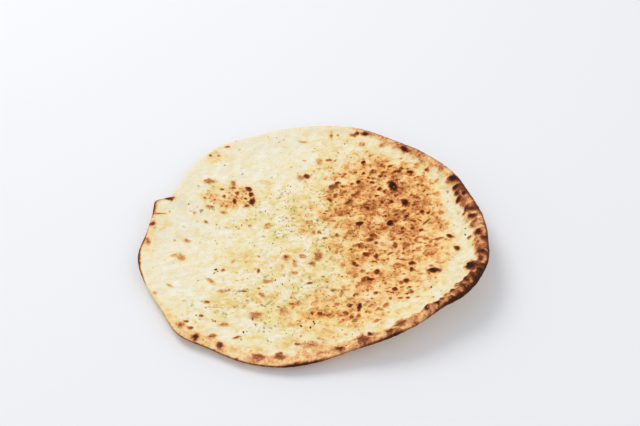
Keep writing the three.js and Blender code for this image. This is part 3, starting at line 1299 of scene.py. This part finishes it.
def screen(first, second):
    """Two strengths from 0 to 1 that add up without passing 1."""
    return 1 - (1 - first) * (1 - second)


class Grains:
    """The marks in the dough, each from about -0.5 to 0.5, with sizes in millimetres."""

    def __init__(self, shader):
        self.place = shader.millimetres()
        self.bent = shader.warped(self.place, 7, 7)
        wide = shader.scaled(self.bent, (0.8, 1, 1))
        stretched = shader.scaled(self.bent, (0.55, 1, 1))
        long = shader.scaled(self.bent, (0.32, 1, 1))
        self.broad = shader.grain(self.bent, 9, 1) - 0.5
        self.cloudy = shader.grain(self.bent, 14, 2) - 0.5
        self.blotches = shader.grain(stretched, 6.5, 2) - 0.5
        self.worms = shader.grain(wide, 3.2, 2) - 0.5
        self.streaks = shader.grain(long, 2.4, 2) - 0.5
        self.fine = shader.grain(self.place, 1.5, 3) - 0.5
        self.grit = shader.grain(self.place, 0.6, 2) - 0.5


def general_toast(browning, gentle, grains):
    """The toast between the blisters, broken up by the marks in the dough."""
    marks = (grains.worms + grains.fine * 0.35 + grains.streaks * 0.25).between(0.0, 0.24)
    pale_marks = (0 - grains.worms - grains.fine * 0.4).between(0.04, 0.22)
    patches = grains.blotches.between(0.01, 0.14)
    clouds = grains.cloudy.between(0.0, 0.16)
    general = browning * (0.82 + grains.broad * 1.1 + marks * 0.80 - pale_marks * 0.26)
    general = general + patches * (browning * (1 - browning) * 0.70 + 0.015)
    general = general + clouds * gentle * 0.07
    return general * (1.08 - general * 0.38)


def small_scorches(shader, speckle, grains):
    """Scorched dots too small to be blisters, in two sizes."""
    spots, shade = sparse_spots(shader, grains.bent, 5.2, speckle * 0.55, 0.16, 0.36)
    specks, speck_shade = sparse_spots(shader, grains.bent, 2.6, speckle * 0.30, 0.16, 0.36)
    return (spots * (shade * 0.36 + 0.16)).most(specks * (speck_shade * 0.26 + 0.12))


def toast_level(general, toast, small, grains):
    """How far along the crust's colours a place is, from 0 for dough to 1 for charcoal."""
    ragged = toast + toast * (1 - toast) * (grains.fine * 1.8 + grains.worms * 1.4)
    return screen(general.most(ragged).clamped(), small * 0.85) + grains.fine * 0.08


def with_oil(shader, colour, oil, pale, grains):
    pools = grains.streaks * 0.5 + grains.worms * 0.6 + grains.broad * 0.9
    oily = oil * pools.between(-0.04, 0.20) * pale
    return shader.tint(oily * 0.85, colour, OILED_DOUGH)


def with_herb_stains(shader, colour, herbs, grains):
    clumps = shader.grain(grains.place, 13, 2).between(0.42, 0.58)
    stains, shade = sparse_spots(shader, grains.bent, 3.8, herbs * clumps, 0.18, 0.48)
    return shader.tint(stains * (shade * 0.55 + 0.38), colour, HERB_STAIN)


def with_flour(shader, colour, flour, pale, grains):
    thickness = grains.fine * 0.8 - grains.blotches * 1.0 - grains.cloudy * 1.4 + 0.5
    dust = thickness.between(0.50, 0.72) * flour
    return shader.tint(dust * 0.85 * pale, colour, FLOUR)


def with_olive_cast(shader, colour, level, gentle, roll):
    """Lightly toasted dough is a little more olive, and duller, away from the roll."""
    toasted = level.between(0.10, 0.30) * (1 - level.between(0.36, 0.54))
    sockets = {
        "Hue": gentle * toasted * 0.018 + 0.5,
        "Saturation": 1 - gentle * 0.08 - roll * 0.05,
        "Value": 1 - gentle * toasted * 0.08,
        "Color": colour,
    }
    return shader.add("ShaderNodeHueSaturation", None, sockets)


def crust_material():
    """Dough, toast, char, oil, herb stains and flour."""
    shader = Shader("baked_crust")
    grains = Grains(shader)
    oil = shader.attribute("oil")
    roll = shader.attribute("roll")
    speckle = shader.attribute("speckle")
    gentle = (1 - speckle.between(0.25, 0.60)) * (1 - roll * 0.8)
    flour = shader.attribute("flour") * (gentle * 0.8 + 0.2)

    general = general_toast(shader.attribute("browning"), gentle, grains)
    small = small_scorches(shader, speckle, grains)
    level = toast_level(general, shader.attribute("toast"), small, grains)
    pale = 1 - level.between(0.30, 0.65)
    ramp_place = {"Fac": level.clamped()}
    colour = shader.add("ShaderNodeValToRGB", {"stops": CRUST_COLOURS}, ramp_place)
    colour = with_oil(shader, colour, oil, pale, grains)
    colour = with_herb_stains(shader, colour, shader.attribute("herbs"), grains)
    colour = with_flour(shader, colour, flour, pale, grains)
    colour = with_olive_cast(shader, colour, level, gentle, roll)

    relief = grains.worms * 0.9 + grains.blotches * 1.2 + grains.fine * 0.4
    relief = relief + grains.grit * 0.12 + small * 0.4
    rough = 0.62 + level * 0.20 - oil * 0.14 + grains.grit * 0.25
    return shader.finish(
        Base_Color=colour,
        Roughness=rough.clamped(),
        Normal=shader.bump(relief, MM, 0.8),
        Specular_IOR_Level=0.12,
    )


# Dried herbs from nearly black through olive and straw to brown.
HERB_COLOURS = [
    (0.00, linear(52, 38, 12)),
    (0.35, linear(114, 88, 32)),
    (0.65, linear(162, 132, 56)),
    (1.00, linear(114, 76, 38)),
]


def herb_material():
    """Flecks that each have their own shade."""
    shader = Shader("dried_herbs")
    place = shader.millimetres()
    grit = shader.grain(place, 0.5, 2) - 0.5
    shade = shader.attribute("shade") + grit * 0.6
    colour = shader.add("ShaderNodeValToRGB", {"stops": HERB_COLOURS}, {"Fac": shade.clamped()})
    rough = 0.75 + grit * 0.3
    return shader.finish(
        Base_Color=colour,
        Roughness=rough.clamped(),
        Normal=shader.bump(grit * 0.3, MM, 0.6),
        Specular_IOR_Level=0.1,
    )


# ---------------------------------------------------------------------------------------------
# Floor, light and camera.


def plain_material(name, colour, roughness):
    shader = Shader(name)
    return shader.finish(Base_Color=colour, Roughness=roughness)


def make_floor():
    far = FLOOR_REACH
    corners = np.array([(-far, -far, 0), (far, -far, 0), (far, far, 0), (-far, far, 0)])
    faces = np.array([(0, 1, 2, 3)])
    material = plain_material("pale_floor", linear(240, 241, 244), 0.9)
    floor = new_object("floor", corners, faces, material)
    floor.location.z = -FLOOR_DROP


def add_light(name, place, width, power, colour):
    """A round soft light that shines on the middle of the bread."""
    data = bpy.data.lights.new(name, "AREA")
    data.shape = "DISK"
    data.size = width
    data.energy = power
    data.color = colour
    lamp = bpy.data.objects.new(name, data)
    lamp.location = place
    lamp.rotation_euler = (-Vector(place)).to_track_quat("-Z", "Y").to_euler()
    bpy.context.scene.collection.objects.link(lamp)


def light_studio():
    world = bpy.data.worlds.new("studio")
    world.use_nodes = True
    background = world.node_tree.nodes["Background"]
    background.inputs["Color"].default_value = ROOM_COLOUR
    background.inputs["Strength"].default_value = ROOM_STRENGTH
    scene = bpy.context.scene
    scene.world = world
    scene.view_settings.view_transform = "Standard"
    add_light("key", *KEY_LIGHT)
    add_light("fill", *FILL_LIGHT)


def place_camera():
    data = bpy.data.cameras.new("camera")
    data.lens = LENS
    data.sensor_width = SENSOR_WIDTH
    camera = bpy.data.objects.new("camera", data)
    camera.location = CAMERA_PLACE
    aim = Vector(CAMERA_AIM) - camera.location
    camera.rotation_euler = aim.to_track_quat("-Z", "Y").to_euler()
    bpy.context.scene.collection.objects.link(camera)
    bpy.context.scene.camera = camera


place_camera()
bread = make_bread(crust_material())
make_herb_flecks(bread, herb_material())
make_floor()
light_studio()
